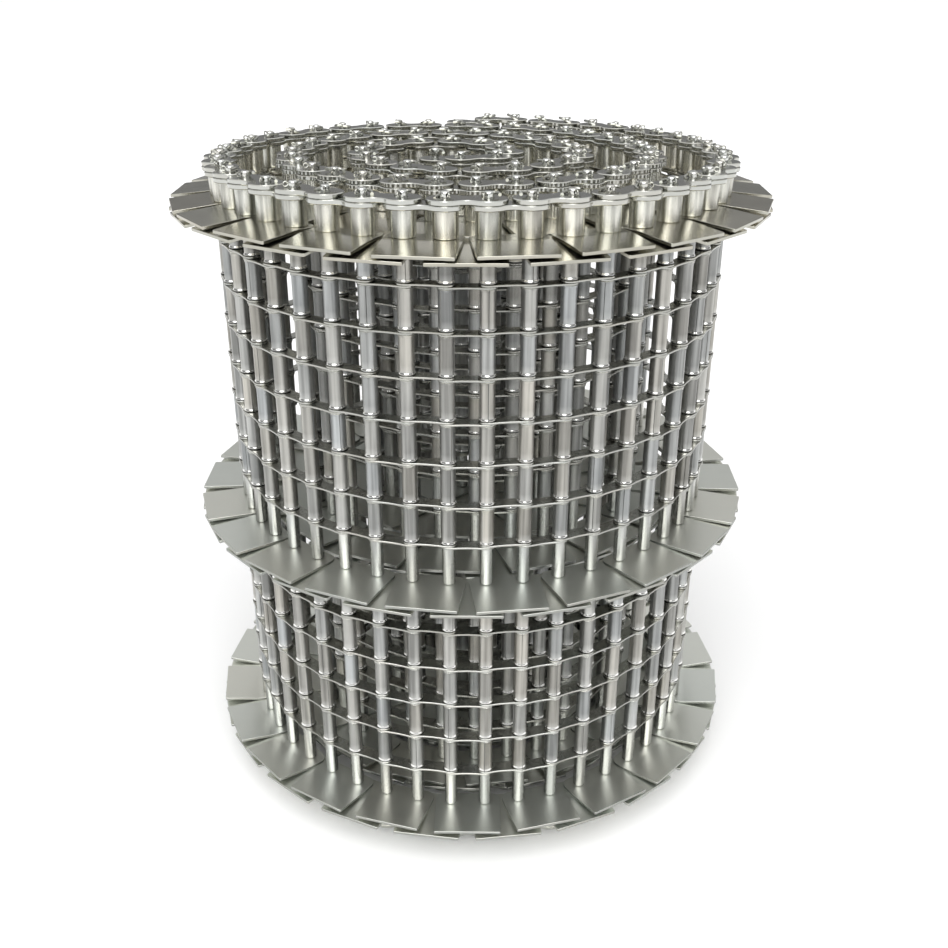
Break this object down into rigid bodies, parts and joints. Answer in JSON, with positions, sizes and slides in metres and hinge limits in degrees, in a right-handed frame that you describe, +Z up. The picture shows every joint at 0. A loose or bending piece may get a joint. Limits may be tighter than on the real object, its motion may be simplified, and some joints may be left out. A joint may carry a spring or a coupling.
{
  "type": "wire mesh conveyor belt",
  "caption": "Chain-edge conveyor belt of cross rods, spacer tubes and thin mesh links with overlapping guard plates, rolled into a standing coil with a hinged free end.",
  "frame": {"origin": "on the coil's axis, at the height of the rod ends that the coil stands on", "axes": "+Z up along the coil's axis and the cross rods; the pictured side faces -Y, with +X to its right"},
  "size_m": [0.6556, 0.6966, 0.7278],
  "materials": {
    "rod": "drawn stainless rod, bright at its cut ends",
    "split_pin": "bright stainless wire",
    "roller": "polished stainless, turned",
    "chain_plate": "stamped and tumbled stainless, rounded edges",
    "guard_plate": "cold rolled stainless sheet, satin",
    "tube": "rolled stainless tube with a butt seam, half bright",
    "narrow_tube": "drawn stainless tube, bright",
    "mesh_link": "stamped stainless strip, half bright"
  },
  "bodies": {
    "coil": {"cross_rods": "rod", "split_pins": "split_pin", "rollers": "roller", "inner_chain_plates": "chain_plate", "outer_chain_plates": "chain_plate", "bottom_guard_plates": "guard_plate", "middle_guard_plates": "guard_plate", "top_guard_plates": "guard_plate", "narrow_tubes": "narrow_tube", "lower_tubes": "tube", "upper_tubes": "tube", "end_tubes": "tube", "mesh_links_rows_1_to_2": "mesh_link", "mesh_links_rows_3_to_4": "mesh_link", "mesh_links_rows_5_to_6": "mesh_link", "mesh_links_rows_7_to_8": "mesh_link", "mesh_links_rows_9_to_10": "mesh_link", "mesh_links_rows_11_to_12": "mesh_link"},
    "section_1": {"section_1_chain_plates": "chain_plate", "section_1_guard_plates": "guard_plate", "section_1_mesh_links": "mesh_link"},
    "section_2": {"section_2_chain_plates": "chain_plate", "section_2_guard_plates": "guard_plate", "section_2_mesh_links": "mesh_link", "section_2_rods": "rod", "section_2_tubes": "tube", "section_2_split_pins": "split_pin"},
    "section_2_bottom_roller_a": {"section_2_bottom_roller_a": "roller"},
    "section_2_top_roller_a": {"section_2_top_roller_a": "roller"},
    "section_2_bottom_roller_b": {"section_2_bottom_roller_b": "roller"},
    "section_2_top_roller_b": {"section_2_top_roller_b": "roller"},
    "section_3": {"section_3_chain_plates": "chain_plate", "section_3_guard_plates": "guard_plate", "section_3_mesh_links": "mesh_link"},
    "section_4": {"section_4_chain_plates": "chain_plate", "section_4_guard_plates": "guard_plate", "section_4_mesh_links": "mesh_link", "section_4_rods": "rod", "section_4_tubes": "tube", "section_4_split_pins": "split_pin"},
    "section_4_bottom_roller_a": {"section_4_bottom_roller_a": "roller"},
    "section_4_top_roller_a": {"section_4_top_roller_a": "roller"},
    "section_4_bottom_roller_b": {"section_4_bottom_roller_b": "roller"},
    "section_4_top_roller_b": {"section_4_top_roller_b": "roller"},
    "section_5": {"section_5_chain_plates": "chain_plate", "section_5_guard_plates": "guard_plate", "section_5_mesh_links": "mesh_link"},
    "section_6": {"section_6_chain_plates": "chain_plate", "section_6_guard_plates": "guard_plate", "section_6_mesh_links": "mesh_link", "section_6_rods": "rod", "section_6_tubes": "tube", "section_6_split_pins": "split_pin"},
    "section_6_bottom_roller_a": {"section_6_bottom_roller_a": "roller"},
    "section_6_top_roller_a": {"section_6_top_roller_a": "roller"},
    "section_6_bottom_roller_b": {"section_6_bottom_roller_b": "roller"},
    "section_6_top_roller_b": {"section_6_top_roller_b": "roller"},
    "section_7": {"section_7_chain_plates": "chain_plate", "section_7_guard_plates": "guard_plate", "section_7_mesh_links": "mesh_link"}
  },
  "joints": [
    {"name": "section_1_hinge", "type": "hinge", "parent": "coil", "child": "section_1", "pos_m": [0.20914, 0.18359, 0], "axis": [0, 0, -1], "range_deg": [0, 7.6]},
    {"name": "section_2_hinge", "type": "hinge", "parent": "section_1", "child": "section_2", "pos_m": [0.18484, 0.21294, 0], "axis": [0, 0, -1], "range_deg": [0, 7.7]},
    {"name": "section_2_bottom_roller_a_spin", "type": "hinge", "parent": "section_2", "child": "section_2_bottom_roller_a", "pos_m": [0.15731, 0.23928, 0], "axis": [0, 0, 1], "continuous": true},
    {"name": "section_2_top_roller_a_spin", "type": "hinge", "parent": "section_2", "child": "section_2_top_roller_a", "pos_m": [0.15731, 0.23928, 0], "axis": [0, 0, 1], "continuous": true},
    {"name": "section_2_bottom_roller_b_spin", "type": "hinge", "parent": "section_2", "child": "section_2_bottom_roller_b", "pos_m": [0.18484, 0.21294, 0], "axis": [0, 0, 1], "continuous": true},
    {"name": "section_2_top_roller_b_spin", "type": "hinge", "parent": "section_2", "child": "section_2_top_roller_b", "pos_m": [0.18484, 0.21294, 0], "axis": [0, 0, 1], "continuous": true},
    {"name": "section_3_hinge", "type": "hinge", "parent": "section_2", "child": "section_3", "pos_m": [0.15731, 0.23928, 0], "axis": [0, 0, -1], "range_deg": [0, 7.8]},
    {"name": "section_4_hinge", "type": "hinge", "parent": "section_3", "child": "section_4", "pos_m": [0.12687, 0.2622, 0], "axis": [0, 0, -1], "range_deg": [0, 7.8]},
    {"name": "section_4_bottom_roller_a_spin", "type": "hinge", "parent": "section_4", "child": "section_4_bottom_roller_a", "pos_m": [0.09392, 0.28132, 0], "axis": [0, 0, 1], "continuous": true},
    {"name": "section_4_top_roller_a_spin", "type": "hinge", "parent": "section_4", "child": "section_4_top_roller_a", "pos_m": [0.09392, 0.28132, 0], "axis": [0, 0, 1], "continuous": true},
    {"name": "section_4_bottom_roller_b_spin", "type": "hinge", "parent": "section_4", "child": "section_4_bottom_roller_b", "pos_m": [0.12687, 0.2622, 0], "axis": [0, 0, 1], "continuous": true},
    {"name": "section_4_top_roller_b_spin", "type": "hinge", "parent": "section_4", "child": "section_4_top_roller_b", "pos_m": [0.12687, 0.2622, 0], "axis": [0, 0, 1], "continuous": true},
    {"name": "section_5_hinge", "type": "hinge", "parent": "section_4", "child": "section_5", "pos_m": [0.09392, 0.28132, 0], "axis": [0, 0, -1], "range_deg": [0, 7.9]},
    {"name": "section_6_hinge", "type": "hinge", "parent": "section_5", "child": "section_6", "pos_m": [0.0589, 0.29632, 0], "axis": [0, 0, -1], "range_deg": [0, 8]},
    {"name": "section_6_bottom_roller_a_spin", "type": "hinge", "parent": "section_6", "child": "section_6_bottom_roller_a", "pos_m": [0.02231, 0.30694, 0], "axis": [0, 0, 1], "continuous": true},
    {"name": "section_6_top_roller_a_spin", "type": "hinge", "parent": "section_6", "child": "section_6_top_roller_a", "pos_m": [0.02231, 0.30694, 0], "axis": [0, 0, 1], "continuous": true},
    {"name": "section_6_bottom_roller_b_spin", "type": "hinge", "parent": "section_6", "child": "section_6_bottom_roller_b", "pos_m": [0.0589, 0.29632, 0], "axis": [0, 0, 1], "continuous": true},
    {"name": "section_6_top_roller_b_spin", "type": "hinge", "parent": "section_6", "child": "section_6_top_roller_b", "pos_m": [0.0589, 0.29632, 0], "axis": [0, 0, 1], "continuous": true},
    {"name": "section_7_hinge", "type": "hinge", "parent": "section_6", "child": "section_7", "pos_m": [0.02231, 0.30694, 0], "axis": [0, 0, -1], "range_deg": [0, 8.1]}
  ]
}
